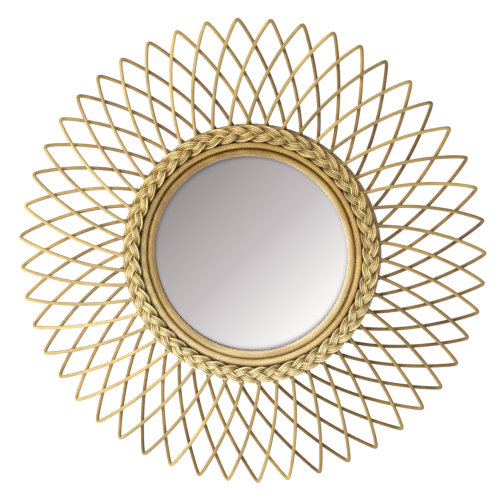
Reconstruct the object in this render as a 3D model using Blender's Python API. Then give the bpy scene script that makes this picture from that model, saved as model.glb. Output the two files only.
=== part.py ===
"""A round wall mirror in a sunburst of bent rattan canes.

The wall is the plane Y = 0, the front faces -Y and +Z is up. The origin is the middle of the
backing board's flat back, where the mirror hangs against the wall. A place on the mirror is
given by its distance from the Y axis, its angle (from +X, anticlockwise as seen from the front)
and its height in front of the wall.

From the wall forward: the backing board inside the back hoop, the glass on the board, the back
legs of the canes on the back hoop, their front legs, and the plaited ring on top. The inner hoop
lies on the glass and the outer hoop round it, with the cut ends of the canes against its side.
"""
import math
import random

import bmesh
import bpy
from mathutils import Vector

# Sizes in metres, angles in degrees
GAP = 0.0003                   # kept between two pieces that touch

# The glass and the board that it lies on
SIGHT_RADIUS = 0.1243          # the glass that shows, up to the inner hoop
GLASS_SET_IN = 0.0015          # the glass ends this far inside the inner hoop's outer side
GLASS_THICKNESS = 0.003
BOARD_THICKNESS = 0.0059

# The three hoops of bent pole, by the pole's diameter
INNER_POLE = 0.010
OUTER_POLE = 0.011
BACK_POLE = 0.012
HOOP_OVAL = 0.0017             # the bent hoops are this much longer one way, shorter across it
HOOP_OVAL_ANGLE = 115.0
HOOP_STEPS = 36
HOOP_SIDES = 8

# The plaited ring of three strands
BRAID_WIDTH = 0.0215
BRAID_OVERHANG = 0.0028        # how far it reaches over the outer hoop
BACK_HOOP_SHOW = 0.0022        # how far the back hoop reaches out past it
STRAND_THICKNESS = 0.0024
BRAID_TURNS = 16               # times that each strand crosses over and back
BRAID_START = 8.6              # angle of an outer lobe, before the drift
BRAID_DRIFT = 3.0              # lobes lie up to this far round from an even spacing
BRAID_DRIFT_ANGLE = 190.0
LOBE_UNEVEN = 0.0006           # a lobe reaches out by up to this much more than the next

# The canes, each bent in its middle into a petal with a front leg and a back leg
PETAL_COUNT = 48
CANE = 0.0046
TIP_RADIUS = 0.3005            # out to the outermost side of the bends
TIP_UNEVEN = 0.0020
TIP_LEAN = 0.008               # the tips lie this much nearer the wall than the hub
FIRST_PETAL = 2.5              # angle of a petal, before the drift of the tips
FRONT_SPREAD = 13.0            # from a petal's middle to its front foot, anticlockwise
BACK_SPREAD = 22.8             # from a petal's middle to its back foot, clockwise
SPREAD_UNEVEN = 0.35
TIP_ANGLE_UNEVEN = 0.25
FRONT_BOW = 0.08               # a leg turns this much faster at the bend than it would evenly,
BACK_BOW = -0.22               # as a share, so it bows out, or is pulled straight below zero
BEND = 0.03                    # roundness of the bend, as a share of the leg's length
CANE_SIDES = 5
LEG_STOPS = (0.04, 0.30, 0.64, 1.0)   # shares of a leg from the bend to the foot

# The tips and the feet drift round from an even spacing in slow waves, and the back legs bow more
# on one side. Each wave gives the number of its crests round the ring, its height, in degrees or
# as a share, and the angle of a crest.
TIP_WAVES = ((1, 0.8, 157.0), (2, 0.2, 112.0), (3, 0.55, 72.0), (4, 0.5, 33.0), (5, 0.4, 35.0))
FRONT_FOOT_WAVES = ((1, 3.1, 98.0), (2, 0.6, 135.0))
BACK_FOOT_WAVES = ((1, 3.7, 129.0), (2, 0.7, 175.0))
BACK_BOW_WAVES = ((1, 0.11, 140.0), (2, 0.07, 165.0))
SEED = 48

# Heights in front of the wall that follow from the stack
GLASS_BACK = BOARD_THICKNESS + GAP
GLASS_FRONT = GLASS_BACK + GLASS_THICKNESS
INNER_HOOP_HEIGHT = GLASS_FRONT + GAP + INNER_POLE / 2
BACK_HOOP_HEIGHT = BACK_POLE / 2
BACK_LEG_HEIGHT = BACK_POLE + GAP + CANE / 2       # where it crosses the back hoop
LEG_STEP = CANE + GAP                              # from a back leg's middle to a front leg's
LEG_MIDDLE = BACK_LEG_HEIGHT + LEG_STEP / 2

# Radii that follow, from the glass outwards. The hoops touch side by side, the braid covers the
# crevice outside them and the back hoop shows past it. The two hoops lie at heights of their own.
GLASS_RADIUS = SIGHT_RADIUS + INNER_POLE - GLASS_SET_IN
INNER_HOOP_RADIUS = SIGHT_RADIUS + INNER_POLE / 2
FRONT_LEG_TOP = LEG_MIDDLE + LEG_STEP / 2 + CANE / 2
OUTER_HOOP_HEIGHT = FRONT_LEG_TOP - OUTER_POLE / 2
HOOP_PITCH = (INNER_POLE + OUTER_POLE) / 2 + GAP
HOOP_RISE = OUTER_HOOP_HEIGHT - INNER_HOOP_HEIGHT
OUTER_HOOP_RADIUS = INNER_HOOP_RADIUS + math.sqrt(HOOP_PITCH ** 2 - HOOP_RISE ** 2)
OUTER_HOOP_EDGE = OUTER_HOOP_RADIUS + OUTER_POLE / 2
BRAID_RADIUS = OUTER_HOOP_EDGE - BRAID_OVERHANG + BRAID_WIDTH / 2
BACK_HOOP_RADIUS = BRAID_RADIUS + BRAID_WIDTH / 2 + BACK_HOOP_SHOW - BACK_POLE / 2
BOARD_RADIUS = BACK_HOOP_RADIUS - BACK_POLE / 2 - GAP

# The canes lean back from the back hoop outwards, and so rise a little from it to their feet
LEAN_SLOPE = TIP_LEAN / (TIP_RADIUS - BACK_HOOP_RADIUS)
FOOT_RADIUS = OUTER_HOOP_EDGE + GAP + CANE / 4     # a slanting end face keeps clear of the hoop
FOOT_RISE = LEAN_SLOPE * (BACK_HOOP_RADIUS - FOOT_RADIUS + HOOP_OVAL)

# A strand is as wide as a third of the band and its own two rounded edges, so three strands
# that lie over, between and under each other pass with the gap
BRAID_BACK = FRONT_LEG_TOP + FOOT_RISE + GAP
STRAND_EDGE = STRAND_THICKNESS / 2
STRAND_WIDTH = (BRAID_WIDTH + 2 * STRAND_EDGE) / 3
STRAND_STEP = STRAND_THICKNESS + GAP
STRAND_REACH = (BRAID_WIDTH - STRAND_WIDTH) / 2
BRAID_MIDDLE = BRAID_BACK + STRAND_THICKNESS / 2 + STRAND_STEP
STRAND_STOPS = 6                                   # sections in each turn of a strand


def place(radius, angle, height):
    """The point at a distance from the Y axis, an angle in degrees and a height off the wall."""
    turn = math.radians(angle)
    return Vector((radius * math.cos(turn), -height, radius * math.sin(turn)))


def oval(angle):
    """How far the bent hoops bulge out, or in, at an angle."""
    return HOOP_OVAL * math.cos(2 * math.radians(angle - HOOP_OVAL_ANGLE))


def finish(name, colour, roughness, metallic=0.0):
    """A material with one colour, roughness and metallic value."""
    material = bpy.data.materials.new(name)
    material.use_nodes = True
    shader = material.node_tree.nodes["Principled BSDF"]
    shader.inputs["Base Color"].default_value = (*colour, 1.0)
    shader.inputs["Roughness"].default_value = roughness
    shader.inputs["Metallic"].default_value = metallic
    return material


def add_object(name, bm, material, parent, smooth_below=40.0):
    """Turn the modelled shape into a named object under the hub."""
    bmesh.ops.recalc_face_normals(bm, faces=bm.faces)
    mesh = bpy.data.meshes.new(name)
    bm.to_mesh(mesh)
    bm.free()
    mesh.materials.append(material)
    mesh.shade_smooth()
    mesh.set_sharp_from_angle(angle=math.radians(smooth_below))
    body = bpy.data.objects.new(name, mesh)
    bpy.context.collection.objects.link(body)
    body.parent = parent
    return body


def skin(sections, closed):
    """Join like sections, one after the other, into a ring or into a rod with flat ends."""
    bm = bmesh.new()
    rows = [[bm.verts.new(point) for point in section] for section in sections]
    pairs = list(zip(rows, rows[1:]))
    if closed:
        pairs.append((rows[-1], rows[0]))
    for row, following in pairs:
        for i in range(len(row)):
            j = (i + 1) % len(row)
            bm.faces.new((row[i], row[j], following[j], following[i]))
    if not closed:
        bm.faces.new(rows[0])
        bm.faces.new(rows[-1])
    return bm


def disc(name, radius, back, front, material, parent):
    """A round flat plate between two heights."""
    bm = bmesh.new()
    rim = []
    for step in range(HOOP_STEPS):
        rim.append(bm.verts.new(place(radius, step * 360 / HOOP_STEPS, back)))
    face = bm.faces.new(rim)
    grown = bmesh.ops.extrude_face_region(bm, geom=[face])
    top = [item for item in grown["geom"] if isinstance(item, bmesh.types.BMVert)]
    bmesh.ops.translate(bm, verts=top, vec=(0.0, back - front, 0.0))
    return add_object(name, bm, material, parent)


def hoop(name, radius, height, pole, bulge, material, parent):
    """A pole bent into a closed ring, round in section, which bulges as the bent hoops do."""
    sections = []
    for step in range(HOOP_STEPS):
        angle = step * 360 / HOOP_STEPS
        section = []
        for side in range(HOOP_SIDES):
            turn = 2 * math.pi * side / HOOP_SIDES
            out = radius + bulge(angle) + pole / 2 * math.cos(turn)
            section.append(place(out, angle, height + pole / 2 * math.sin(turn)))
        sections.append(section)
    return add_object(name, skin(sections, closed=True), material, parent)


def strand_section(angle, across, layer):
    """One flat, round-edged section of a strand, square to the ring."""
    half_width = STRAND_WIDTH / 2
    half_thickness = STRAND_THICKNESS / 2
    flat = half_width - STRAND_EDGE
    outline = (
        (-half_width, 0.0), (-flat, -half_thickness), (flat, -half_thickness),
        (half_width, 0.0), (flat, half_thickness), (-flat, half_thickness),
    )
    middle = BRAID_RADIUS + oval(angle) + across
    height = BRAID_MIDDLE + layer * STRAND_STEP
    return [place(middle + out, angle, height + up) for out, up in outline]


def braid_strand(index, material, parent):
    """A strand that goes from edge to edge, over its neighbour from the edge to the middle
    and under the other one from there on, sixteen times round the ring."""
    steps = BRAID_TURNS * STRAND_STOPS
    uneven = random.Random(SEED + index)
    sections = []
    for step in range(steps):
        even = BRAID_START + 360 * (step + 0.5) / steps
        angle = even + BRAID_DRIFT * math.cos(math.radians(even - BRAID_DRIFT_ANGLE))
        phase = 2 * math.pi * (index / 3 - (step + 0.5) / STRAND_STOPS)
        side = math.cos(phase) / math.cos(math.pi / STRAND_STOPS)
        layer = math.sin(2 * phase) / math.sin(math.pi / 3)
        reach = STRAND_REACH + LOBE_UNEVEN * uneven.random()
        sections.append(strand_section(angle, reach * side, layer))
    return add_object(f"braid_strand_{index + 1}", skin(sections, closed=True), material, parent)


def drift(waves, even):
    """What slow waves round the ring add at an angle."""
    return sum(swing * math.cos(crests * math.radians(even - crest))
               for crests, swing, crest in waves)


def petal_path(index):
    """The middle line of one cane, from its back foot over the bend to its front foot."""
    uneven = random.Random(SEED + 100 * (index + 1))
    even = FIRST_PETAL + index * 360 / PETAL_COUNT
    tip = even + drift(TIP_WAVES, even) + uneven.uniform(-TIP_ANGLE_UNEVEN, TIP_ANGLE_UNEVEN)
    tip_radius = TIP_RADIUS - CANE / 2 - uneven.uniform(0.0, TIP_UNEVEN)
    back_foot = even - BACK_SPREAD + drift(BACK_FOOT_WAVES, even)
    front_foot = even + FRONT_SPREAD + drift(FRONT_FOOT_WAVES, even)
    feet = {
        -1: back_foot + uneven.uniform(-SPREAD_UNEVEN, SPREAD_UNEVEN),
        1: front_foot + uneven.uniform(-SPREAD_UNEVEN, SPREAD_UNEVEN),
    }
    bows = {-1: BACK_BOW + drift(BACK_BOW_WAVES, even), 1: FRONT_BOW}
    shares = [-stop for stop in reversed(LEG_STOPS)] + [0.0] + list(LEG_STOPS)
    points = []
    for share in shares:
        way = abs(share)
        leg = int(math.copysign(1, share))
        foot_radius = FOOT_RADIUS + oval(feet[leg])
        fall = (math.hypot(way, BEND) - BEND) / (math.hypot(1.0, BEND) - BEND)
        radius = tip_radius + (foot_radius - tip_radius) * fall
        angle = tip + (feet[leg] - tip) * way * (1 + bows[leg] * (1 - way))
        middle = LEG_MIDDLE - LEAN_SLOPE * (radius - BACK_HOOP_RADIUS)
        layer = leg * LEG_STEP / 2 if way > 0 else 0.0
        points.append(place(radius, angle, middle + layer))
    return points


def cane_sections(points):
    """Round sections along a line of points, mitred at each point."""
    forward = Vector((0.0, -1.0, 0.0))
    runs = [(b - a).normalized() for a, b in zip(points, points[1:])]
    sections = []
    for number, point in enumerate(points):
        before = runs[max(number - 1, 0)]
        after = runs[min(number, len(runs) - 1)]
        along = (before + after).normalized()
        mitre = 1 / along.dot(before)
        side = along.cross(forward).normalized()
        lift = side.cross(along)
        section = []
        for corner in range(CANE_SIDES):
            turn = math.pi / 2 + 2 * math.pi * corner / CANE_SIDES
            offset = side * math.cos(turn) * mitre + lift * math.sin(turn)
            section.append(point + offset * CANE / 2)
        sections.append(section)
    return sections


def petal(index, material, parent):
    """One cane bent into a petal."""
    bm = skin(cane_sections(petal_path(index)), closed=False)
    return add_object(f"petal_{index + 1:02d}", bm, material, parent, smooth_below=80.0)


def build():
    """Model every piece of the mirror under one empty at the origin."""
    for old in list(bpy.data.objects):
        bpy.data.objects.remove(old, do_unlink=True)
    hub = bpy.data.objects.new("hub", None)
    bpy.context.collection.objects.link(hub)

    glass = finish("silvered_glass", (0.86, 0.86, 0.87), 0.02, metallic=1.0)
    board = finish("fibreboard", (0.30, 0.20, 0.12), 0.80)
    pole = finish("rattan_pole", (0.50, 0.33, 0.15), 0.45)
    reed = finish("rattan_reed", (0.56, 0.40, 0.20), 0.55)
    cane = finish("rattan_cane", (0.48, 0.31, 0.14), 0.45)

    disc("mirror_glass", GLASS_RADIUS, GLASS_BACK, GLASS_FRONT, glass, hub)
    disc("backing_board", BOARD_RADIUS, 0.0, BOARD_THICKNESS, board, hub)
    hoop("inner_hoop", INNER_HOOP_RADIUS, INNER_HOOP_HEIGHT, INNER_POLE, oval, pole, hub)
    hoop("outer_hoop", OUTER_HOOP_RADIUS, OUTER_HOOP_HEIGHT, OUTER_POLE, oval, pole, hub)
    hoop("back_hoop", BACK_HOOP_RADIUS, BACK_HOOP_HEIGHT, BACK_POLE, lambda angle: 0.0, pole, hub)
    for index in range(3):
        braid_strand(index, reed, hub)
    for index in range(PETAL_COUNT):
        petal(index, cane, hub)


build()
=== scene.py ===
"""Looks of a round wall mirror in a sunburst of bent rattan canes.

The modelled solids are the fixed frame. The canes, the three hoops and the plaited ring are drawn
again round and smooth in the same places, the backing board gets its true round edge, and every
piece gets the finish of its real material. The wall is the plane Y = 0 and the front faces -Y.
A place is given by its distance from the Y axis, its angle (from +X, anticlockwise as seen from
the front) and its height in front of the wall.

Light and shade are painted into the rattan: its colour is deeper and browner where others shade
it. So every point of a rod also carries its painted light and shade, from -1 in the shade of
others to 1.5 where nothing is near, with slow waves of painted light round the ring.
"""
import math
import random

import bmesh
import bpy
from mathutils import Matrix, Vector


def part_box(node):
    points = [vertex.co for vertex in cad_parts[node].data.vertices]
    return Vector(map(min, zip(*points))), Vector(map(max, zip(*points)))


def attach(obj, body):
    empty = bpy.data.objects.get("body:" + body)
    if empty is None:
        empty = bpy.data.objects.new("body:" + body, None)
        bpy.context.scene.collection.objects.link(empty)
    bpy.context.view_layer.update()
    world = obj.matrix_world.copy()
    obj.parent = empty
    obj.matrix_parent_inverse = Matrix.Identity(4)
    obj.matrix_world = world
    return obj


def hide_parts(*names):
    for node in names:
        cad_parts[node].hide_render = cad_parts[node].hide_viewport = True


bl_info = {
    "name": "Rattan sunburst mirror",
    "version": (1, 0, 0),
    "blender": (4, 5, 0),
    "location": "View3D > Sidebar > Mirror",
    "description": "Finishes a round wall mirror in a sunburst of bent rattan canes",
    "category": "Add Mesh",
}

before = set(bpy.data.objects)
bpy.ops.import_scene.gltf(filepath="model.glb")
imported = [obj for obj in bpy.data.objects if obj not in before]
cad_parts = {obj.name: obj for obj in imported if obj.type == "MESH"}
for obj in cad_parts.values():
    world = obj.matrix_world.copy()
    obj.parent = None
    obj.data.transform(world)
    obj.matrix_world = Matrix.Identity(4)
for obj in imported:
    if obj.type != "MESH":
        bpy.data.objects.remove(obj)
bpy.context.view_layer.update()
BODY = "root"
MM = 0.001


def measures(node):
    """Middle radius, height off the wall and pole diameter of a hoop, read from its solid."""
    low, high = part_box(node)
    pole = high.y - low.y
    radius = (high.x - low.x + high.z - low.z) / 4 - pole / 2
    return radius, -(low.y + high.y) / 2, pole


# The hoops and what follows from them, as in the solids
INNER_RADIUS, INNER_HEIGHT, INNER_POLE = measures("inner_hoop")
OUTER_RADIUS, OUTER_HEIGHT, OUTER_POLE = measures("outer_hoop")
BACK_RADIUS, BACK_HEIGHT, BACK_POLE = measures("back_hoop")
HOOP_OVAL = 1.7 * MM
HOOP_OVAL_ANGLE = 115.0
GAP = 0.3 * MM

# The canes, with the same bends, feet and seeds as the solids that they stand for. Waves round
# the ring are given by how many crests they have, how high these are and the angle of one crest
PETAL_COUNT = 48
CANE = 4.6 * MM
TIP_RADIUS = 300.5 * MM
TIP_UNEVEN = 2.0 * MM
TIP_LEAN = 8.0 * MM
FIRST_PETAL = 2.5
FRONT_SPREAD = 13.0
BACK_SPREAD = 22.8
SPREAD_UNEVEN = 0.35
TIP_ANGLE_UNEVEN = 0.25
FRONT_BOW = 0.08
BACK_BOW = -0.22
TIP_WAVES = ((1, 0.8, 157.0), (2, 0.2, 112.0), (3, 0.55, 72.0), (4, 0.5, 33.0), (5, 0.4, 35.0))
FRONT_FOOT_WAVES = ((1, 3.1, 98.0), (2, 0.6, 135.0))
BACK_FOOT_WAVES = ((1, 3.7, 129.0), (2, 0.7, 175.0))
BACK_BOW_WAVES = ((1, 0.11, 140.0), (2, 0.07, 165.0))
SEED = 48
LEG_STEP = CANE + GAP
LEG_MIDDLE = BACK_POLE + GAP + CANE / 2 + LEG_STEP / 2
LEAN_SLOPE = TIP_LEAN / (TIP_RADIUS - BACK_RADIUS)
FOOT_RADIUS = OUTER_RADIUS + OUTER_POLE / 2 + GAP + CANE / 4

# How the canes are drawn: a power crowds the sections toward the tip, over a share of their
# length the legs part into two layers, and the layer and a slow wave round the ring give their
# painted light and shade, the back leg darker than the front
TIP_CROWDING = 1.8
LEG_PARTING = 0.05
LAYER_PAINTED_LIGHT = 0.5
CANE_PAINTED_LIGHT_WAVES = ((1, 0.3, 165.0),)
CANE_UNEVEN_LENGTH = 30 * MM

# The plaited ring, as in the solids
STRANDS = 3
BRAID_TURNS = 16
BRAID_START = 8.6
BRAID_DRIFT = 3.0
BRAID_DRIFT_ANGLE = 190.0
BRAID_WIDTH = 21.5 * MM
BRAID_OVERHANG = 2.8 * MM
BRAID_RADIUS = OUTER_RADIUS + OUTER_POLE / 2 - BRAID_OVERHANG + BRAID_WIDTH / 2

# How the reeds are drawn: sections in each turn, how many waves a reed wanders in and between
# which counts of crests, and the painted light a reed gets at the edge of its strand, on the two
# rims of the plait and in a slow wave round the ring
TURN_SECTIONS = 32
WANDER_WAVES = 4
FEWEST_CRESTS = 9
MOST_CRESTS = 60
EDGE_PAINTED_LIGHT = 0.30
RIM_PAINTED_LIGHT = 1.15
RIM_START = 8.2 * MM
RIM_WIDTH = 1.2 * MM
BRAID_PAINTED_LIGHT_WAVES = ((1, 0.4, 262.0),)
REED_UNEVEN_LENGTH = 24 * MM

# How the poles of the hoops are drawn
HOOP_SECTIONS = 240
POLE_UNEVEN_LENGTH = 60 * MM

# The range of the painted light and shade of a point, from most shaded to most open, and how far
# a rod of tint 1 shifts along its material's pattern, in metres, so that no two rods look alike
MOST_SHADED = -1.0
MOST_OPEN = 1.5
PATTERN_SHIFT = 7.0

# The name of the node tree that all rods share
ROD_TREE = "Round rod on a line"

# The shade on the glass along the hoop
GLASS_SIGHT = INNER_RADIUS - INNER_POLE / 2
GLASS_SHADE = 6 * MM

# The edges of the backing board that are eased, and those that stay sharp in the shading
EASED_FROM = math.radians(60)
SHARP_FROM = math.radians(30)

# The camera of the photograph, found from the ellipses of the rings
CAMERA_AZIMUTH = math.radians(3.0)
CAMERA_ELEVATION = math.radians(6.5)
CAMERA_DISTANCE = 2.0
IMAGE_SIZE = 500
FOCAL_PIXELS = 1555.0
ORIGIN_PIXEL = (251.7, 253.0)
SENSOR = 36.0

# The stage. A light has its name, the setting of its power, its width and its place. The card's
# tones run over what the glass shows of it, which follows from the shown half of the glass
LIGHTS = (
    ("soft_key", "key", 0.9, (-0.80, -1.40, 2.10)),
    ("soft_side", "side", 0.5, (-0.90, -0.80, 0.00)),
    ("soft_behind", "behind", 1.0, (0.50, 1.60, 0.70)),
)
BACKGROUND = 1.05
FLOOR_WIDTH = 60.0
CARD_DISTANCE = 3.2
CARD_WIDTH = 1.9
SHOWN_GLASS = 124 * MM


def place(radius, angle, height):
    """The point at a distance from the Y axis, an angle in degrees and a height off the wall."""
    turn = math.radians(angle)
    return Vector((radius * math.cos(turn), -height, radius * math.sin(turn)))


def oval(angle):
    """How far the bent hoops bulge out, or in, at an angle."""
    return HOOP_OVAL * math.cos(2 * math.radians(angle - HOOP_OVAL_ANGLE))


def drift(waves, angle):
    """What slow waves round the ring add at an angle."""
    return sum(swing * math.cos(crests * math.radians(angle - crest))
               for crests, swing, crest in waves)


def smooth(value):
    """A soft step from 0 to 1."""
    value = min(max(value, 0.0), 1.0)
    return value * value * (3 - 2 * value)


def linear(code):
    """An sRGB hex colour as linear red, green, blue and alpha."""
    channels = [int(code[at:at + 2], 16) / 255 for at in (1, 3, 5)]
    return [c / 12.92 if c <= 0.04045 else ((c + 0.055) / 1.055) ** 2.4 for c in channels] + [1.0]


# Building blocks for node trees

def fill(tree, node, inputs):
    """Fill or link the inputs of a node, each by its name or number."""
    for name, value in inputs.items():
        if isinstance(value, bpy.types.NodeSocket):
            tree.links.new(value, node.inputs[name])
        else:
            node.inputs[name].default_value = value


def add(tree, kind, inputs=None, stops=(), **settings):
    """Add a node with its settings and inputs, and the stops of its colour ramp if it has one,
    each a position from 0 to 1 and a colour."""
    made = tree.nodes.new(kind)
    for name, value in settings.items():
        setattr(made, name, value)
    fill(tree, made, inputs or {})
    for number, (position, colour) in enumerate(stops):
        elements = made.color_ramp.elements
        stop = elements[number] if number < len(elements) else elements.new(position)
        stop.position = position
        stop.color = colour
    return made


def new_material(name):
    """A new node material, its tree and its Principled shader."""
    material = bpy.data.materials.new(name)
    material.use_nodes = True
    return material, material.node_tree, material.node_tree.nodes["Principled BSDF"]


def deepen(tree, colour, value, low, high, first, last):
    """Raise a colour to a power, which makes it darker and browner above 1: the power runs from
    first to last while the value runs from low to high."""
    power = add(tree, "ShaderNodeMapRange", {"Value": value, "From Min": low, "From Max": high,
                                             "To Min": first, "To Max": last})
    deep = add(tree, "ShaderNodeGamma", {"Color": colour, "Gamma": power.outputs[0]})
    return deep.outputs[0]


# Materials

def rattan(name, tones, patch, grain, marks, roughness, shade=None, groove=None, crevices=()):
    """Rattan: slow patches between a dark and a pale tone, fine grain along the rod and faint
    rings across it.

    All patterns read the rod as if it lay straight: across in X and Y, along in Z, in metres.
    Powers of the colour paint light and shade into it. Shade has the power where a rod lies most
    shaded and the one where it lies most open, and groove the one of the painted shade at the sides
    of a rod that lies among others. Each of the crevices of a hoop, of painted shade or painted
    light, runs from the direction where it starts to the one where it has its full power: -1 faces
    the middle of the hoop, 1 faces away.
    """
    material, tree, shader = new_material(name)
    straight = add(tree, "ShaderNodeAttribute", attribute_name="straight").outputs["Vector"]
    tint = add(tree, "ShaderNodeAttribute", attribute_name="tint").outputs["Fac"]

    # Slow patches of tone, on top of the tint of each rod
    across, along = patch
    spread = add(tree, "ShaderNodeMapping", {"Vector": straight,
                                             "Scale": (1 / across, 1 / across, 1 / along)})
    patches = add(tree, "ShaderNodeTexNoise", {"Vector": spread.outputs[0], "Scale": 1.0,
                                               "Detail": 3.0, "Roughness": 0.6})
    centred = add(tree, "ShaderNodeMath", {0: patches.outputs["Fac"], 1: 1.5, 2: -0.45},
                  operation="MULTIPLY_ADD")
    tone = add(tree, "ShaderNodeMath", {0: tint, 1: 0.4, 2: centred.outputs[0]},
               operation="MULTIPLY_ADD", use_clamp=True)
    dark, pale = tones
    base = add(tree, "ShaderNodeValToRGB", {"Fac": tone.outputs[0]},
               stops=((0.10, (*dark, 1.0)), (0.93, (*pale, 1.0))))

    # Long fibres and rings across, which make the tone a little lighter and darker
    fibre, fibre_length = grain
    drawn = add(tree, "ShaderNodeMapping", {"Vector": straight,
                                            "Scale": (1 / fibre, 1 / fibre, 1 / fibre_length)})
    fibres = add(tree, "ShaderNodeTexNoise", {"Vector": drawn.outputs[0], "Scale": 1.0,
                                              "Detail": 2.0, "Roughness": 0.55})
    streak = add(tree, "ShaderNodeMapRange", {"Value": fibres.outputs["Fac"], "From Min": 0.3,
                                              "From Max": 0.7, "To Min": 0.80, "To Max": 1.12})
    ring, ring_depth = marks
    stacked = add(tree, "ShaderNodeMapping", {"Vector": straight,
                                              "Scale": (60.0, 60.0, 1 / ring)})
    rings = add(tree, "ShaderNodeTexNoise", {"Vector": stacked.outputs[0], "Scale": 1.0,
                                             "Detail": 1.0, "Roughness": 0.5})
    band = add(tree, "ShaderNodeMapRange", {"Value": rings.outputs["Fac"], "From Min": 0.35,
                                            "From Max": 0.65, "To Min": 1.0 - ring_depth,
                                            "To Max": 1.0 + ring_depth / 2})
    light = add(tree, "ShaderNodeMath", {0: streak.outputs[0], 1: band.outputs[0]},
                operation="MULTIPLY")
    lit = add(tree, "ShaderNodeVectorMath", {0: base.outputs["Color"], "Scale": light.outputs[0]},
              operation="SCALE")

    # A slow change of hue between a pinkish and an olive straw
    tinge = add(tree, "ShaderNodeTexNoise", {"Vector": spread.outputs[0], "Scale": 1.7,
                                             "Detail": 1.0})
    hue = add(tree, "ShaderNodeMapRange", {"Value": tinge.outputs["Fac"], "From Min": 0.35,
                                           "From Max": 0.65, "To Min": 0.499, "To Max": 0.512})
    colour = add(tree, "ShaderNodeHueSaturation", {"Hue": hue.outputs[0],
                                                   "Color": lit.outputs[0]}).outputs[0]

    # Painted light and shade, as powers of the colour: darker and browner where the rod lies under
    # others or in the dark part of a slow wave round the ring, at the sides of a reed among its
    # neighbours and in the crevices of the hoops, and lighter where it lies open and on the inner
    # hoop's edge by the glass
    if shade:
        openness = add(tree, "ShaderNodeAttribute", attribute_name="openness").outputs["Fac"]
        colour = deepen(tree, colour, openness, MOST_SHADED, MOST_OPEN, *shade)
    # Painted shade at the sides of a reed, where its neighbours shade it
    if groove:
        skin = add(tree, "ShaderNodeTexCoord")
        faces = add(tree, "ShaderNodeSeparateXYZ", {0: skin.outputs["Normal"]})
        frontal = add(tree, "ShaderNodeMath", {0: faces.outputs["Y"]}, operation="ABSOLUTE")
        colour = deepen(tree, colour, frontal.outputs[0], 0.15, 0.85, groove, 1.0)
    # Painted shade in the crevices of a hoop, and painted light on the inner hoop's edge by the
    # glass
    if crevices:
        skin = add(tree, "ShaderNodeTexCoord")
        level = add(tree, "ShaderNodeVectorMath", {0: skin.outputs["Object"], 1: (1.0, 0.0, 1.0)},
                    operation="MULTIPLY")
        away = add(tree, "ShaderNodeVectorMath", {0: level.outputs[0]}, operation="NORMALIZE")
        outward = add(tree, "ShaderNodeVectorMath", {0: skin.outputs["Normal"],
                                                     1: away.outputs[0]},
                      operation="DOT_PRODUCT").outputs["Value"]
        for start, end, power in crevices:
            colour = deepen(tree, colour, outward, start, end, 1.0, power)

    # Duller and shinier patches, and a faint relief of fibres and rings
    low, high = roughness
    gloss = add(tree, "ShaderNodeMapRange", {"Value": patches.outputs["Fac"], "From Min": 0.3,
                                             "From Max": 0.7, "To Min": low, "To Max": high})
    relief = add(tree, "ShaderNodeMath", {0: fibres.outputs["Fac"], 1: rings.outputs["Fac"]},
                 operation="ADD")
    bump = add(tree, "ShaderNodeBump", {"Height": relief.outputs[0], "Strength": 0.5,
                                        "Distance": 0.08 * MM})
    fill(tree, shader, {"Base Color": colour, "Roughness": gloss.outputs[0],
                        "Normal": bump.outputs[0]})
    return material


def cane_rattan(tones):
    """Thin peeled rattan, lacquered clear: a golden straw tone that drifts to olive and to a
    pinkish brown every few centimetres, with a soft shine along the round of the cane."""
    # The shade powers paint the back legs and the right of the ring darker and browner, in painted
    # shade, and the front legs lighter, in painted light
    return rattan("rattan_cane_lacquered", tones, patch=(14 * MM, 95 * MM),
                  grain=(1.6 * MM, 30 * MM), marks=(9.0 * MM, 0.04), roughness=(0.36, 0.50),
                  shade=(1.60, 0.52))


def pole_rattan(name, tones, rings, crevices=(), shade=None):
    """Stout rattan pole, steamed, bent and sanded: warm tan with fine rings across it, where the
    skin crazed on the bend, long faint grain, and painted shade in the crevices and in a slow wave
    round the hoop."""
    return rattan(name, tones, patch=(22 * MM, 60 * MM), grain=(1.1 * MM, 30 * MM),
                  marks=(1.6 * MM, rings), roughness=(0.40, 0.55), shade=shade,
                  crevices=crevices)


def reed_rattan(tones):
    """Round reed drawn from the core of the rattan: pale, dry and fibrous, each reed of its own
    tone, so the plait looks made of many thin rods."""
    # The shade powers paint a strand darker and browner where it dives under another and toward the
    # top of the ring, and lighter on its edge reeds and the rims of the plait; groove paints shade
    # at the sides of each reed among its neighbours
    return rattan("rattan_core_reed", tones, patch=(9 * MM, 50 * MM), grain=(1.2 * MM, 20 * MM),
                  marks=(8.0 * MM, 0.04), roughness=(0.38, 0.52), shade=(2.8, 0.70), groove=2.0)


def silvered_glass():
    """Silvered float glass: a clean mirror with the faintest haze of polish, and a soft bluish
    shade along the edge, where the hoop keeps the light off the glass."""
    material, tree, shader = new_material("silvered_float_glass")
    where = add(tree, "ShaderNodeTexCoord").outputs["Object"]
    haze = add(tree, "ShaderNodeTexNoise", {"Vector": where, "Scale": 22.0, "Detail": 2.0})
    wiped = add(tree, "ShaderNodeMapRange", {"Value": haze.outputs["Fac"], "From Min": 0.3,
                                             "From Max": 0.7, "To Min": 0.015, "To Max": 0.03})
    level = add(tree, "ShaderNodeVectorMath", {0: where, 1: (1.0, 0.0, 1.0)},
                operation="MULTIPLY")
    away = add(tree, "ShaderNodeVectorMath", {0: level.outputs[0]}, operation="LENGTH")
    near_hoop = add(tree, "ShaderNodeMapRange", {"Value": away.outputs["Value"],
                                                 "From Min": GLASS_SIGHT - GLASS_SHADE,
                                                 "From Max": GLASS_SIGHT})
    silver = add(tree, "ShaderNodeValToRGB", {"Fac": near_hoop.outputs[0]},
                 stops=((0.0, linear("#FBFBFC")), (0.45, linear("#F0F0F3")),
                        (1.0, linear("#BCBCC6"))))
    fill(tree, shader, {"Base Color": silver.outputs["Color"], "Metallic": 1.0,
                        "Roughness": wiped.outputs[0]})
    return material


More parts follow.
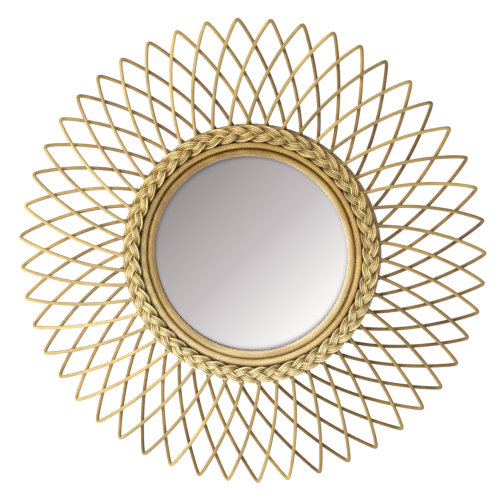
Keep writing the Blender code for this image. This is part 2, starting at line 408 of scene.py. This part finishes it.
def hardboard():
    """Pressed hardboard: matt brown felt of wood fibre with paler and darker flecks."""
    material, tree, shader = new_material("pressed_hardboard")
    where = add(tree, "ShaderNodeTexCoord").outputs["Object"]
    flecks = add(tree, "ShaderNodeTexNoise", {"Vector": where, "Scale": 1 / (1.8 * MM),
                                              "Detail": 4.0, "Roughness": 0.7})
    clouds = add(tree, "ShaderNodeTexNoise", {"Vector": where, "Scale": 1 / (45 * MM),
                                              "Detail": 2.0})
    faint = add(tree, "ShaderNodeMath", {0: clouds.outputs["Fac"], 1: 0.4}, operation="MULTIPLY")
    tone = add(tree, "ShaderNodeMath", {0: flecks.outputs["Fac"], 1: 0.7, 2: faint.outputs[0]},
               operation="MULTIPLY_ADD", use_clamp=True)
    felt = add(tree, "ShaderNodeValToRGB", {"Fac": tone.outputs[0]},
               stops=((0.30, linear("#5E4128")), (0.55, linear("#7B5837")),
                      (0.80, linear("#9A7650"))))
    bump = add(tree, "ShaderNodeBump", {"Height": flecks.outputs["Fac"], "Strength": 0.35,
                                        "Distance": 0.2 * MM})
    fill(tree, shader, {"Base Color": felt.outputs["Color"], "Roughness": 0.85,
                        "Normal": bump.outputs[0]})
    return material


# Rods that follow a line

def rod_tree():
    """Geometry nodes that run a round, slightly uneven rod along each line of a mesh of lines and
    write where each point of its skin would lie on a straight rod."""
    tree = bpy.data.node_groups.new(ROD_TREE, "GeometryNodeTree")
    face = tree.interface
    face.new_socket(name="Geometry", in_out="INPUT", socket_type="NodeSocketGeometry")
    face.new_socket(name="Diameter", in_out="INPUT", socket_type="NodeSocketFloat")
    face.new_socket(name="Sides", in_out="INPUT", socket_type="NodeSocketInt")
    face.new_socket(name="Unevenness", in_out="INPUT", socket_type="NodeSocketFloat")
    face.new_socket(name="Uneven length", in_out="INPUT", socket_type="NodeSocketFloat")
    face.new_socket(name="Material", in_out="INPUT", socket_type="NodeSocketMaterial")
    face.new_socket(name="Geometry", in_out="OUTPUT", socket_type="NodeSocketGeometry")

    given = add(tree, "NodeGroupInput")
    along = add(tree, "GeometryNodeInputNamedAttribute", {"Name": "along"}, data_type="FLOAT")
    lines = add(tree, "GeometryNodeMeshToCurve", {"Mesh": given.outputs["Geometry"]})
    step = add(tree, "ShaderNodeMath", {0: along.outputs[0], 1: given.outputs["Uneven length"]},
               operation="DIVIDE")
    noise = add(tree, "ShaderNodeTexNoise", {"W": step.outputs[0], "Scale": 1.0, "Detail": 1.0},
                noise_dimensions="1D")
    swing = add(tree, "ShaderNodeMath", {0: noise.outputs[0], 1: 0.5}, operation="SUBTRACT")
    thick = add(tree, "ShaderNodeMath", {0: swing.outputs[0], 1: given.outputs["Unevenness"],
                                         2: 1.0}, operation="MULTIPLY_ADD")
    sized = add(tree, "GeometryNodeSetCurveRadius", {"Curve": lines.outputs[0],
                                                     "Radius": thick.outputs[0]})
    half = add(tree, "ShaderNodeMath", {0: given.outputs["Diameter"], 1: 0.5},
               operation="MULTIPLY")
    circle = add(tree, "GeometryNodeCurvePrimitiveCircle",
                 {"Resolution": given.outputs["Sides"], "Radius": half.outputs[0]})
    position = add(tree, "GeometryNodeInputPosition")
    section = add(tree, "GeometryNodeStoreNamedAttribute",
                  {"Geometry": circle.outputs[0], "Name": "across", "Value": position.outputs[0]},
                  data_type="FLOAT_VECTOR", domain="POINT")
    rod = add(tree, "GeometryNodeCurveToMesh", {"Curve": sized.outputs[0],
                                                "Profile Curve": section.outputs[0],
                                                "Fill Caps": True})
    across = add(tree, "GeometryNodeInputNamedAttribute", {"Name": "across"},
                 data_type="FLOAT_VECTOR")
    upward = add(tree, "ShaderNodeCombineXYZ", {"Z": along.outputs[0]})
    straight = add(tree, "ShaderNodeVectorMath", {0: across.outputs[0], 1: upward.outputs[0]},
                   operation="ADD")
    marked = add(tree, "GeometryNodeStoreNamedAttribute",
                 {"Geometry": rod.outputs[0], "Name": "straight", "Value": straight.outputs[0]},
                 data_type="FLOAT_VECTOR", domain="POINT")
    shaded = add(tree, "GeometryNodeSetShadeSmooth", {"Geometry": marked.outputs[0]})
    whole = add(tree, "GeometryNodeRealizeInstances", {"Geometry": shaded.outputs[0]})
    painted = add(tree, "GeometryNodeSetMaterial", {"Geometry": whole.outputs[0],
                                                    "Material": given.outputs["Material"]})
    add(tree, "NodeGroupOutput", {"Geometry": painted.outputs[0]})
    return tree


def rods(name, lines, closed, diameter, sides, unevenness, uneven_length, material):
    """Round rods along lines, as one plain mesh. Each line is its points, its tint from 0 to 1
    and the painted light and shade of each of its points."""
    points, edges, along, tints, painted_lights = [], [], [], [], []
    for line, tint, openness in lines:
        first = len(points)
        travelled = PATTERN_SHIFT * tint
        for number, point in enumerate(line):
            if number:
                travelled += (point - line[number - 1]).length
                edges.append((first + number - 1, first + number))
            points.append(point)
            along.append(travelled)
            tints.append(tint)
            painted_lights.append(openness[number])
        if closed:
            edges.append((len(points) - 1, first))
    mesh = bpy.data.meshes.new(name)
    mesh.from_pydata(points, edges, [])
    for label, values in (("along", along), ("tint", tints), ("openness", painted_lights)):
        mesh.attributes.new(label, "FLOAT", "POINT").data.foreach_set("value", values)
    piece = bpy.data.objects.new(name, mesh)
    bpy.context.collection.objects.link(piece)

    tree = bpy.data.node_groups.get(ROD_TREE) or rod_tree()
    modifier = piece.modifiers.new("rod", "NODES")
    modifier.node_group = tree
    values = {"Diameter": diameter, "Sides": sides, "Unevenness": unevenness,
              "Uneven length": uneven_length, "Material": material}
    for socket in tree.interface.items_tree:
        if socket.in_out == "INPUT" and socket.name in values:
            modifier[socket.identifier] = values[socket.name]
    depsgraph = bpy.context.evaluated_depsgraph_get()
    made = bpy.data.meshes.new_from_object(piece.evaluated_get(depsgraph), depsgraph=depsgraph)
    piece.modifiers.remove(modifier)
    piece.data = made
    made.name = name
    return piece


def hand_over(piece, slot, *nodes):
    """The finished piece stands for its solids and moves with the mirror. The slot is not used."""
    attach(piece, BODY)
    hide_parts(*nodes)


# Lines of the pieces

def petal_line(index, bend, steps):
    """The middle line of one cane from its back foot over the bend to its front foot, and the
    painted light and shade of each of its points."""
    uneven = random.Random(SEED + 100 * (index + 1))
    even = FIRST_PETAL + index * 360 / PETAL_COUNT
    tip = even + drift(TIP_WAVES, even) + uneven.uniform(-TIP_ANGLE_UNEVEN, TIP_ANGLE_UNEVEN)
    tip_radius = TIP_RADIUS - CANE / 2 - uneven.uniform(0.0, TIP_UNEVEN)
    back_foot = even - BACK_SPREAD + drift(BACK_FOOT_WAVES, even)
    front_foot = even + FRONT_SPREAD + drift(FRONT_FOOT_WAVES, even)
    feet = {
        -1: back_foot + uneven.uniform(-SPREAD_UNEVEN, SPREAD_UNEVEN),
        1: front_foot + uneven.uniform(-SPREAD_UNEVEN, SPREAD_UNEVEN),
    }
    bows = {-1: BACK_BOW + drift(BACK_BOW_WAVES, even), 1: FRONT_BOW}
    line, openness = [], []
    for step in range(-steps, steps + 1):
        leg = int(math.copysign(1, step))
        way = (abs(step) / steps) ** TIP_CROWDING
        foot_radius = FOOT_RADIUS + oval(feet[leg])
        fall = (math.hypot(way, bend) - bend) / (math.hypot(1.0, bend) - bend)
        radius = tip_radius + (foot_radius - tip_radius) * fall
        angle = tip + (feet[leg] - tip) * way * (1 + bows[leg] * (1 - way))
        layer = leg * smooth(way / LEG_PARTING)
        height = LEG_MIDDLE - LEAN_SLOPE * (radius - BACK_RADIUS) + layer * LEG_STEP / 2
        line.append(place(radius, angle, height))
        # Painted shade on the back leg and painted light on the front, with a slow wave round the
        # ring
        openness.append(LAYER_PAINTED_LIGHT * layer + drift(CANE_PAINTED_LIGHT_WAVES, angle))
    return line, openness


def hoop_line(radius, height, ovalness, palest):
    """The middle line of a bent hoop, which has a share of the oval, and the painted light and
    shade of each of its points, in a slow wave that is palest at an angle."""
    line, openness = [], []
    for section in range(HOOP_SECTIONS):
        angle = section * 360 / HOOP_SECTIONS
        line.append(place(radius + ovalness * oval(angle), angle, height))
        # Painted light and shade in a slow wave round the ring
        openness.append(math.cos(math.radians(angle - palest)))
    return line, openness


def strand_line(index, reach, lift, middle, steps):
    """The middle line of one strand of the plait, which goes from edge to edge and back in each
    turn, and how far up in the plait each of its points lies, from -1 to 1."""
    line, ups = [], []
    for step in range(steps):
        share = step / steps
        even = BRAID_START + 360 * share
        angle = even + BRAID_DRIFT * math.cos(math.radians(even - BRAID_DRIFT_ANGLE))
        phase = 2 * math.pi * (index / STRANDS - BRAID_TURNS * share)
        radius = BRAID_RADIUS + oval(angle) + reach * math.cos(phase)
        up = math.sin(2 * phase)
        line.append(place(radius, angle, middle + lift * up))
        ups.append(up)
    return line, ups


def reed_painted_light(point, up):
    """The painted light and shade of a point of a reed: darker as far down in the plait as it lies,
    lighter on the two rims of the plait, and in a slow wave round the ring."""
    radius = math.hypot(point.x, point.z)
    angle = math.degrees(math.atan2(point.z, point.x))
    rim = smooth((abs(radius - BRAID_RADIUS - oval(angle)) - RIM_START) / RIM_WIDTH)
    return up + rim * (RIM_PAINTED_LIGHT - up) + drift(BRAID_PAINTED_LIGHT_WAVES, angle)


def reed_lines(index, reeds, reed, spacing, wander):
    """The lines of the reeds that lie side by side in one strand, each with its tint and the
    painted light and shade of its points."""
    low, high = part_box(f"braid_strand_{index + 1}")
    middle = -(low.y + high.y) / 2
    lift = (high.y - low.y) / 2 - reed / 2 - wander
    width = (reeds - 1) * spacing + reed
    steps = BRAID_TURNS * TURN_SECTIONS
    strand, ups = strand_line(index, (BRAID_WIDTH - width) / 2, lift, middle, steps)
    random_reed = random.Random(SEED + index)
    lines = []
    for number in range(reeds):
        offset = (number - (reeds - 1) / 2) * spacing
        # The two edge reeds of a strand are painted lighter
        edge = EDGE_PAINTED_LIGHT if number in (0, reeds - 1) else 0.0
        waves = [(random_reed.randint(FEWEST_CRESTS, MOST_CRESTS),
                  random_reed.uniform(0, 2 * math.pi)) for _ in range(WANDER_WAVES)]
        points, openness = [], []
        for step in range(steps):
            ahead = strand[(step + 1) % steps] - strand[step - 1]
            side = ahead.cross(Vector((0.0, -1.0, 0.0))).normalized()
            turn = 2 * math.pi * step / steps

            # The waves add up, so half of their sum is taken sideways and a third of it inward
            sideways = sum(math.sin(crests * turn + start) for crests, start in waves) / 2
            inward = sum(math.cos(crests * turn + start) for crests, start in waves) / 3
            point = (strand[step] + side * (offset + wander * sideways)
                     + Vector((0.0, wander * inward, 0.0)))
            points.append(point)
            openness.append(reed_painted_light(point, ups[step] + edge))
        lines.append((points, random_reed.random(), openness))
    return lines


# Settings that a user would change

class CaneSettings(bpy.types.PropertyGroup):
    """The bent canes of the sunburst."""
    bend: bpy.props.FloatProperty(
        name="Bend", description="Roundness of the bend at a tip, as a share of the leg",
        default=0.030, min=0.02, max=0.2, subtype="FACTOR")
    steps: bpy.props.IntProperty(
        name="Steps", description="Sections along each leg of a cane", default=32, min=12, max=80)
    sides: bpy.props.IntProperty(
        name="Sides", description="Sides of the round cane", default=10, min=6, max=24)
    unevenness: bpy.props.FloatProperty(
        name="Unevenness", description="How much the thickness of a cane changes",
        default=0.10, min=0.0, max=0.4, subtype="FACTOR")
    dark: bpy.props.FloatVectorProperty(
        name="Dark tone", description="Darkest tone of the canes",
        default=linear("#7F5F2B")[:3], min=0.0, max=1.0, subtype="COLOR")
    pale: bpy.props.FloatVectorProperty(
        name="Pale tone", description="Palest tone of the canes",
        default=linear("#CAAA65")[:3], min=0.0, max=1.0, subtype="COLOR")


class BraidSettings(bpy.types.PropertyGroup):
    """The plaited ring over the feet of the canes."""
    reeds: bpy.props.IntProperty(
        name="Reeds", description="Reeds side by side in each strand", default=4, min=2, max=8)
    reed: bpy.props.FloatProperty(
        name="Reed", description="Diameter of a reed", default=2.30 * MM, unit="LENGTH")
    spacing: bpy.props.FloatProperty(
        name="Spacing", description="From the middle of a reed to the next",
        default=2.4 * MM, unit="LENGTH")
    wander: bpy.props.FloatProperty(
        name="Wander", description="How far a reed wanders from its place",
        default=0.09 * MM, unit="LENGTH")
    sides: bpy.props.IntProperty(
        name="Sides", description="Sides of the round reed", default=8, min=6, max=16)
    unevenness: bpy.props.FloatProperty(
        name="Unevenness", description="How much the thickness of a reed changes",
        default=0.07, min=0.0, max=0.4, subtype="FACTOR")
    dark: bpy.props.FloatVectorProperty(
        name="Dark tone", description="Darkest tone of the reeds",
        default=linear("#A48F5C")[:3], min=0.0, max=1.0, subtype="COLOR")
    pale: bpy.props.FloatVectorProperty(
        name="Pale tone", description="Palest tone of the reeds",
        default=linear("#F3DFB0")[:3], min=0.0, max=1.0, subtype="COLOR")


class HoopSettings(bpy.types.PropertyGroup):
    """The three bent hoops."""
    sides: bpy.props.IntProperty(
        name="Sides", description="Sides of the round pole", default=24, min=8, max=64)
    unevenness: bpy.props.FloatProperty(
        name="Unevenness", description="How much the thickness of a pole changes",
        default=0.03, min=0.0, max=0.2, subtype="FACTOR")
    inner_dark: bpy.props.FloatVectorProperty(
        name="Inner hoop, dark tone", description="Darkest tone of the hoop round the glass",
        default=linear("#93713C")[:3], min=0.0, max=1.0, subtype="COLOR")
    inner_pale: bpy.props.FloatVectorProperty(
        name="Inner hoop, pale tone", description="Palest tone of the hoop round the glass",
        default=linear("#CBAE78")[:3], min=0.0, max=1.0, subtype="COLOR")
    outer_dark: bpy.props.FloatVectorProperty(
        name="Outer hoop, dark tone", description="Darkest tone of the hoop beside the plait",
        default=linear("#A3834B")[:3], min=0.0, max=1.0, subtype="COLOR")
    outer_pale: bpy.props.FloatVectorProperty(
        name="Outer hoop, pale tone", description="Palest tone of the hoop beside the plait",
        default=linear("#D4B77C")[:3], min=0.0, max=1.0, subtype="COLOR")
    back_dark: bpy.props.FloatVectorProperty(
        name="Back hoop, dark tone", description="Darkest tone of the hoop behind the canes",
        default=linear("#AC7E50")[:3], min=0.0, max=1.0, subtype="COLOR")
    back_pale: bpy.props.FloatVectorProperty(
        name="Back hoop, pale tone", description="Palest tone of the hoop behind the canes",
        default=linear("#EAC396")[:3], min=0.0, max=1.0, subtype="COLOR")


class BoardSettings(bpy.types.PropertyGroup):
    """The backing board."""
    edge: bpy.props.FloatProperty(
        name="Edge", description="Width of the eased edge", default=0.6 * MM, unit="LENGTH")
    sides: bpy.props.IntProperty(
        name="Sides", description="Sides of the round board", default=160, min=32, max=512)


class StageSettings(bpy.types.PropertyGroup):
    """The floor, the lights and the soft card that the glass reflects."""
    floor_drop: bpy.props.FloatProperty(
        name="Floor drop", description="From the middle of the mirror down to the floor",
        default=1.1, unit="LENGTH")
    sky: bpy.props.FloatProperty(
        name="Sky", description="Brightness of the even light from all round", default=0.22)
    key: bpy.props.FloatProperty(
        name="Key", description="Power of the soft light above on the left, in watts",
        default=38.0)
    side: bpy.props.FloatProperty(
        name="Side", description="Power of the soft light on the left, in watts", default=10.5)
    behind: bpy.props.FloatProperty(
        name="Behind", description="Power of the soft light behind, in watts", default=7.0)


# Operators

class MIRROR_OT_canes(bpy.types.Operator):
    """Draw the 48 bent canes as round, slightly uneven rods"""
    bl_idname = "mirror.canes"
    bl_label = "Bent canes"

    def execute(self, context):
        settings = context.scene.mirror_canes
        tints = random.Random(SEED)
        lines = []
        for index in range(PETAL_COUNT):
            line, openness = petal_line(index, settings.bend, settings.steps)
            lines.append((line, tints.random(), openness))
        piece = rods("bent_canes", lines, False, CANE, settings.sides, settings.unevenness,
                     CANE_UNEVEN_LENGTH, cane_rattan((settings.dark, settings.pale)))
        hand_over(piece, "petal_cane", *[f"petal_{i + 1:02d}" for i in range(PETAL_COUNT)])
        return {"FINISHED"}


class MIRROR_OT_braid(bpy.types.Operator):
    """Plait the three strands of round reeds"""
    bl_idname = "mirror.braid"
    bl_label = "Plaited ring"

    def execute(self, context):
        settings = context.scene.mirror_braid
        material = reed_rattan((settings.dark, settings.pale))
        for index in range(STRANDS):
            lines = reed_lines(index, settings.reeds, settings.reed, settings.spacing,
                               settings.wander)
            piece = rods(f"plaited_strand_{index + 1}", lines, True, settings.reed,
                         settings.sides, settings.unevenness, REED_UNEVEN_LENGTH, material)
            hand_over(piece, "braid_reed", f"braid_strand_{index + 1}")
        return {"FINISHED"}


class MIRROR_OT_hoops(bpy.types.Operator):
    """Bend the three hoops of rattan pole"""
    bl_idname = "mirror.hoops"
    bl_label = "Hoops"

    def execute(self, context):
        settings = context.scene.mirror_hoops
        # The crevice powers paint shade where the hoops meet each other and under the plait, and
        # paint the inner hoop's edge by the glass lighter; the shade powers paint light and shade
        # in a slow wave round each hoop, lightest toward the bottom
        inner = pole_rattan("rattan_pole_amber", (settings.inner_dark, settings.inner_pale),
                            rings=0.05, crevices=((-0.55, -0.80, 0.75), (0.30, 0.90, 1.8)),
                            shade=(1.40, 0.46))
        outer = pole_rattan("rattan_pole_honey", (settings.outer_dark, settings.outer_pale),
                            rings=0.08, crevices=((-0.60, -0.95, 1.4), (0.20, 0.60, 3.4)),
                            shade=(1.45, 0.42))
        back = pole_rattan("rattan_pole_brown", (settings.back_dark, settings.back_pale),
                           rings=0.08)

        # Each hoop's solid, measures, share of the oval, tint, angle of its palest painted light
        # and material. The back hoop lies evenly in the shade, so its material paints no light or
        # shade and doesn't read the angle
        for node, radius, height, pole, ovalness, tint, palest, material in (
            ("inner_hoop", INNER_RADIUS, INNER_HEIGHT, INNER_POLE, 1.0, 0.35, 305, inner),
            ("outer_hoop", OUTER_RADIUS, OUTER_HEIGHT, OUTER_POLE, 1.0, 0.60, 245, outer),
            ("back_hoop", BACK_RADIUS, BACK_HEIGHT, BACK_POLE, 0.0, 0.50, 0, back),
        ):
            line, openness = hoop_line(radius, height, ovalness, palest)
            piece = rods(f"{node}_pole", [(line, tint, openness)], True, pole, settings.sides,
                         settings.unevenness, POLE_UNEVEN_LENGTH, material)
            hand_over(piece, "hoop_pole", node)
        return {"FINISHED"}


class MIRROR_OT_glass(bpy.types.Operator):
    """Silver the glass"""
    bl_idname = "mirror.glass"
    bl_label = "Glass"

    def execute(self, context):
        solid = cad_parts["mirror_glass"]
        solid.data.materials.clear()
        solid.data.materials.append(silvered_glass())
        return {"FINISHED"}


class MIRROR_OT_board(bpy.types.Operator):
    """Cut the round backing board with an eased edge"""
    bl_idname = "mirror.board"
    bl_label = "Backing board"

    def execute(self, context):
        settings = context.scene.mirror_board
        low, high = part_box("backing_board")
        bm = bmesh.new()
        bmesh.ops.create_circle(bm, cap_ends=True, radius=(high.x - low.x) / 2,
                                segments=settings.sides)
        grown = bmesh.ops.extrude_face_region(bm, geom=bm.faces[:])
        moved = [item for item in grown["geom"] if isinstance(item, bmesh.types.BMVert)]
        bmesh.ops.translate(bm, verts=moved, vec=(0.0, 0.0, high.y - low.y))
        bmesh.ops.recalc_face_normals(bm, faces=bm.faces)
        edges = [edge for edge in bm.edges if len(edge.link_faces) == 2
                 and edge.calc_face_angle() > EASED_FROM]
        bmesh.ops.bevel(bm, geom=edges, offset=settings.edge, segments=2, profile=0.5,
                        affect="EDGES")
        for vert in bm.verts:
            vert.co = Vector((vert.co.x, -vert.co.z, vert.co.y))
        bmesh.ops.recalc_face_normals(bm, faces=bm.faces)
        mesh = bpy.data.meshes.new("hardboard_back")
        bm.to_mesh(mesh)
        bm.free()
        mesh.shade_smooth()
        mesh.set_sharp_from_angle(angle=SHARP_FROM)
        mesh.materials.append(hardboard())
        piece = bpy.data.objects.new("hardboard_back", mesh)
        context.collection.objects.link(piece)
        hand_over(piece, "backing_board", "backing_board")
        return {"FINISHED"}


class MIRROR_OT_stage(bpy.types.Operator):
    """Set the pale floor, the soft lights, the card behind the camera and the camera"""
    bl_idname = "mirror.stage"
    bl_label = "Stage"

    def execute(self, context):
        settings = context.scene.mirror_stage
        context.scene.view_settings.view_transform = "Standard"
        self.sky(context, settings)
        self.floor(context, settings)
        self.card(context)
        for name, setting, width, middle in LIGHTS:
            self.light(context, name, getattr(settings, setting), width, middle)
        self.camera(context)
        return {"FINISHED"}

    def plane(self, context, name, width, material, middle, rotation, seen):
        """A square plane of the stage, which the camera sees or only the glass."""
        bm = bmesh.new()
        bmesh.ops.create_grid(bm, x_segments=1, y_segments=1, size=width / 2)
        mesh = bpy.data.meshes.new(name)
        bm.to_mesh(mesh)
        bm.free()
        mesh.materials.append(material)
        plane = bpy.data.objects.new(name, mesh)
        plane.location = middle
        plane.rotation_euler = rotation
        plane.visible_camera = seen
        context.collection.objects.link(plane)

    def sky(self, context, settings):
        """An even soft light from all round, in front of a white background."""
        world = bpy.data.worlds.new("studio")
        world.use_nodes = True
        tree = world.node_tree
        tree.nodes.clear()
        seen = add(tree, "ShaderNodeLightPath").outputs["Is Camera Ray"]
        soft = add(tree, "ShaderNodeBackground", {"Color": linear("#FFFCF7"),
                                                  "Strength": settings.sky})
        white = add(tree, "ShaderNodeBackground", {"Color": linear("#FFFFFF"),
                                                   "Strength": BACKGROUND})
        mixed = add(tree, "ShaderNodeMixShader", {0: seen, 1: soft.outputs[0], 2: white.outputs[0]})
        add(tree, "ShaderNodeOutputWorld", {"Surface": mixed.outputs[0]})
        context.scene.world = world

    def floor(self, context, settings):
        """A pale painted floor, far enough below for no shadow to show."""
        material, tree, shader = new_material("white_painted_floor")
        where = add(tree, "ShaderNodeTexCoord").outputs["Object"]
        cloud = add(tree, "ShaderNodeTexNoise", {"Vector": where, "Scale": 0.6, "Detail": 2.0})
        paint = add(tree, "ShaderNodeValToRGB", {"Fac": cloud.outputs["Fac"]},
                    stops=((0.3, linear("#F7F6F4")), (0.7, linear("#FDFDFC"))))
        fill(tree, shader, {"Base Color": paint.outputs["Color"], "Roughness": 0.9,
                            "Emission Color": linear("#FFFFFF"), "Emission Strength": 0.85})
        self.plane(context, "pale_floor", FLOOR_WIDTH, material,
                   (0.0, 0.0, -settings.floor_drop), (0.0, 0.0, 0.0), True)

    def card(self, context):
        """The softly graded card behind the camera, which glows and is what the glass reflects:
        grey at the upper left and nearly white at the lower right."""
        middle = (-math.tan(CAMERA_AZIMUTH) * CARD_DISTANCE, -CARD_DISTANCE,
                  -math.tan(CAMERA_ELEVATION) * CARD_DISTANCE)
        material = bpy.data.materials.new("graded_card")
        material.use_nodes = True
        tree = material.node_tree
        tree.nodes.clear()
        where = add(tree, "ShaderNodeTexCoord").outputs["Object"]
        parts = add(tree, "ShaderNodeSeparateXYZ", {0: where})
        across = add(tree, "ShaderNodeMath", {0: parts.outputs["X"], 1: parts.outputs["Y"]},
                     operation="SUBTRACT")
        reach = SHOWN_GLASS * (1 + CARD_DISTANCE / CAMERA_DISTANCE) * math.sqrt(2)
        share = add(tree, "ShaderNodeMapRange", {"Value": across.outputs[0], "From Min": -reach,
                                                 "From Max": reach})
        tone = add(tree, "ShaderNodeValToRGB", {"Fac": share.outputs[0]},
                   stops=((0.0, linear("#9A9494")), (0.5, linear("#CAC4C5")),
                          (1.0, linear("#FFFCFB"))))
        glow = add(tree, "ShaderNodeEmission", {"Color": tone.outputs["Color"], "Strength": 1.0})
        add(tree, "ShaderNodeOutputMaterial", {"Surface": glow.outputs[0]})
        self.plane(context, "graded_card", CARD_WIDTH, material, middle,
                   (math.radians(90.0), 0.0, 0.0), False)

    def light(self, context, name, power, width, middle):
        """A square soft light that faces the mirror."""
        lamp = bpy.data.lights.new(name, "AREA")
        lamp.energy = power
        lamp.size = width
        lamp.color = linear("#FFFDF8")[:3]
        shown = bpy.data.objects.new(name, lamp)
        shown.location = middle
        shown.rotation_euler = (-Vector(middle)).to_track_quat("-Z", "Y").to_euler()
        context.collection.objects.link(shown)

    def camera(self, context):
        """The camera at the photograph's viewing angle."""
        back = Vector((math.sin(CAMERA_AZIMUTH) * math.cos(CAMERA_ELEVATION),
                       -math.cos(CAMERA_AZIMUTH) * math.cos(CAMERA_ELEVATION),
                       math.sin(CAMERA_ELEVATION)))
        data = bpy.data.cameras.new("camera")
        data.sensor_width = SENSOR
        data.lens = FOCAL_PIXELS * SENSOR / IMAGE_SIZE
        data.shift_x = (IMAGE_SIZE / 2 - ORIGIN_PIXEL[0]) / IMAGE_SIZE
        data.shift_y = (ORIGIN_PIXEL[1] - IMAGE_SIZE / 2) / IMAGE_SIZE
        camera = bpy.data.objects.new("camera", data)
        camera.location = back * CAMERA_DISTANCE
        camera.rotation_euler = (-back).to_track_quat("-Z", "Y").to_euler()
        context.collection.objects.link(camera)
        context.scene.camera = camera


class MIRROR_PT_panel(bpy.types.Panel):
    """The steps that finish the mirror, with their settings"""
    bl_idname = "MIRROR_PT_panel"
    bl_label = "Rattan sunburst mirror"
    bl_space_type = "VIEW_3D"
    bl_region_type = "UI"
    bl_category = "Mirror"

    def draw(self, context):
        for operator, group in STEPS:
            box = self.layout.box()
            box.operator(operator.bl_idname)
            if group:
                settings = getattr(context.scene, group)
                for name in settings.bl_rna.properties.keys():
                    if name not in ("rna_type", "name"):
                        box.prop(settings, name)


# Each step with the name of its settings on the scene
STEPS = (
    (MIRROR_OT_stage, "mirror_stage"),
    (MIRROR_OT_canes, "mirror_canes"),
    (MIRROR_OT_hoops, "mirror_hoops"),
    (MIRROR_OT_braid, "mirror_braid"),
    (MIRROR_OT_glass, None),
    (MIRROR_OT_board, "mirror_board"),
)
SETTINGS = {
    "mirror_stage": StageSettings,
    "mirror_canes": CaneSettings,
    "mirror_hoops": HoopSettings,
    "mirror_braid": BraidSettings,
    "mirror_board": BoardSettings,
}


def register():
    """Register the settings, the steps and the panel."""
    for name, group in SETTINGS.items():
        bpy.utils.register_class(group)
        setattr(bpy.types.Scene, name, bpy.props.PointerProperty(type=group))
    for operator, _ in STEPS:
        bpy.utils.register_class(operator)
    bpy.utils.register_class(MIRROR_PT_panel)


def unregister():
    """Take back what register has set."""
    bpy.utils.unregister_class(MIRROR_PT_panel)
    for operator, _ in STEPS:
        bpy.utils.unregister_class(operator)
    for name, group in SETTINGS.items():
        delattr(bpy.types.Scene, name)
        bpy.utils.unregister_class(group)


def main():
    """Run every step in order."""
    register()
    bpy.ops.mirror.stage()
    bpy.ops.mirror.canes()
    bpy.ops.mirror.hoops()
    bpy.ops.mirror.braid()
    bpy.ops.mirror.glass()
    bpy.ops.mirror.board()


if __name__ == "__main__":
    main()
